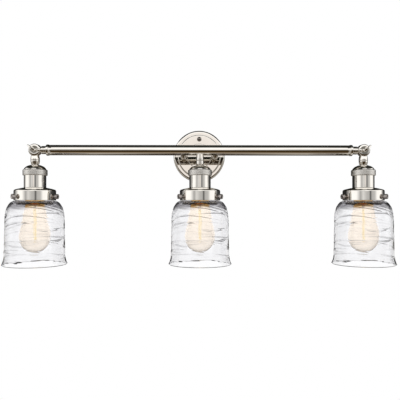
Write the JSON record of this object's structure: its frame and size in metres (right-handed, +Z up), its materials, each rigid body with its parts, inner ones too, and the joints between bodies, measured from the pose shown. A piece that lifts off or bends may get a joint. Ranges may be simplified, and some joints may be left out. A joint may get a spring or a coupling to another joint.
{
  "type": "vanity light bar",
  "caption": "Straight tubular wall light bar on a round backplate, with hanging bell-shaped clear glass lamps; the end lamps swing on thumb-screwed knuckles.",
  "frame": {"origin": "centre of the backplate in the plane of the wall, on the back face of the mounting plate", "axes": "+Z up, +X along the bar to the viewer's right, -Y out of the wall towards the room"},
  "size_m": [0.7872, 0.2001, 0.287],
  "materials": {
    "polished_nickel": "mirror-polished nickel plate, slightly warm",
    "clear_glass": "clear blown glass with shallow swirled ridges",
    "amber_glass": "thin glass with a light amber tint",
    "brass": "bright thin sheet brass",
    "phenolic": "black moulded phenolic",
    "filament": "fine tungsten wire, glowing yellow when lit",
    "zinc_steel": "zinc-plated pressed steel",
    "green_screw": "green dyed earth screw",
    "wire_sleeve": "black insulated fixture wire"
  },
  "bodies": {
    "fixture": {"backplate": "polished_nickel", "mounting_plate": "zinc_steel", "ground_screw": "green_screw", "stud_upper": "zinc_steel", "stud_lower": "zinc_steel", "cap_nut_upper": "polished_nickel", "cap_nut_lower": "polished_nickel", "post_left": "polished_nickel", "post_right": "polished_nickel", "bar_tube": "polished_nickel", "ferrule_left": "polished_nickel", "ferrule_right": "polished_nickel", "wiring": "wire_sleeve", "knuckle_upper_left": "polished_nickel", "knuckle_upper_right": "polished_nickel", "stem_centre": "polished_nickel", "neck_collar_centre": "polished_nickel", "socket_cap_centre": "polished_nickel", "socket_shell_centre": "polished_nickel", "socket_body_centre": "phenolic", "contact_shell_centre": "brass", "gallery_centre": "polished_nickel", "shade_centre": "clear_glass", "bulb_base_centre": "brass", "bulb_glass_centre": "amber_glass", "filament_centre": "filament"},
    "lamp_left": {"knuckle_lower_left": "polished_nickel", "neck_collar_left": "polished_nickel", "socket_cap_left": "polished_nickel", "socket_shell_left": "polished_nickel", "socket_body_left": "phenolic", "contact_shell_left": "brass", "gallery_left": "polished_nickel", "shade_left": "clear_glass", "bulb_base_left": "brass", "bulb_glass_left": "amber_glass", "filament_left": "filament"},
    "lamp_right": {"knuckle_lower_right": "polished_nickel", "neck_collar_right": "polished_nickel", "socket_cap_right": "polished_nickel", "socket_shell_right": "polished_nickel", "socket_body_right": "phenolic", "contact_shell_right": "brass", "gallery_right": "polished_nickel", "shade_right": "clear_glass", "bulb_base_right": "brass", "bulb_glass_right": "amber_glass", "filament_right": "filament"},
    "thumbscrew_left": {"thumbscrew_left": "polished_nickel"},
    "thumbscrew_right": {"thumbscrew_right": "polished_nickel"},
    "glass_screw_left_a": {"glass_screw_left_a": "polished_nickel"},
    "glass_screw_left_b": {"glass_screw_left_b": "polished_nickel"},
    "glass_screw_left_c": {"glass_screw_left_c": "polished_nickel"},
    "glass_screw_centre_a": {"glass_screw_centre_a": "polished_nickel"},
    "glass_screw_centre_b": {"glass_screw_centre_b": "polished_nickel"},
    "glass_screw_centre_c": {"glass_screw_centre_c": "polished_nickel"},
    "glass_screw_right_a": {"glass_screw_right_a": "polished_nickel"},
    "glass_screw_right_b": {"glass_screw_right_b": "polished_nickel"},
    "glass_screw_right_c": {"glass_screw_right_c": "polished_nickel"}
  },
  "joints": [
    {"name": "swing_left", "type": "hinge", "parent": "fixture", "child": "lamp_left", "pos_m": [-0.33, -0.137, 0], "axis": [0, 1, 0], "range_deg": [-20, 180]},
    {"name": "swing_right", "type": "hinge", "parent": "fixture", "child": "lamp_right", "pos_m": [0.33, -0.137, 0], "axis": [0, -1, 0], "range_deg": [-20, 180]},
    {"name": "tighten_left", "type": "hinge", "parent": "lamp_left", "child": "thumbscrew_left", "pos_m": [-0.33, -0.137, 0], "axis": [0, -1, 0], "continuous": true},
    {"name": "tighten_right", "type": "hinge", "parent": "lamp_right", "child": "thumbscrew_right", "pos_m": [0.33, -0.137, 0], "axis": [0, -1, 0], "continuous": true},
    {"name": "release_left_a", "type": "slide", "parent": "lamp_left", "child": "glass_screw_left_a", "axis": [-0.6691, -0.7431, 0], "range_m": [0, 0.004]},
    {"name": "release_left_b", "type": "slide", "parent": "lamp_left", "child": "glass_screw_left_b", "axis": [0.9781, -0.2079, 0], "range_m": [0, 0.004]},
    {"name": "release_left_c", "type": "slide", "parent": "lamp_left", "child": "glass_screw_left_c", "axis": [-0.309, 0.9511, 0], "range_m": [0, 0.004]},
    {"name": "release_centre_a", "type": "slide", "parent": "fixture", "child": "glass_screw_centre_a", "axis": [-0.866, -0.5, 0], "range_m": [0, 0.004]},
    {"name": "release_centre_b", "type": "slide", "parent": "fixture", "child": "glass_screw_centre_b", "axis": [0.866, -0.5, 0], "range_m": [0, 0.004]},
    {"name": "release_centre_c", "type": "slide", "parent": "fixture", "child": "glass_screw_centre_c", "axis": [0, 1, 0], "range_m": [0, 0.004]},
    {"name": "release_right_a", "type": "slide", "parent": "lamp_right", "child": "glass_screw_right_a", "axis": [-0.9659, -0.2588, 0], "range_m": [0, 0.004]},
    {"name": "release_right_b", "type": "slide", "parent": "lamp_right", "child": "glass_screw_right_b", "axis": [0.7071, -0.7071, 0], "range_m": [0, 0.004]},
    {"name": "release_right_c", "type": "slide", "parent": "lamp_right", "child": "glass_screw_right_c", "axis": [0.2588, 0.9659, 0], "range_m": [0, 0.004]}
  ]
}
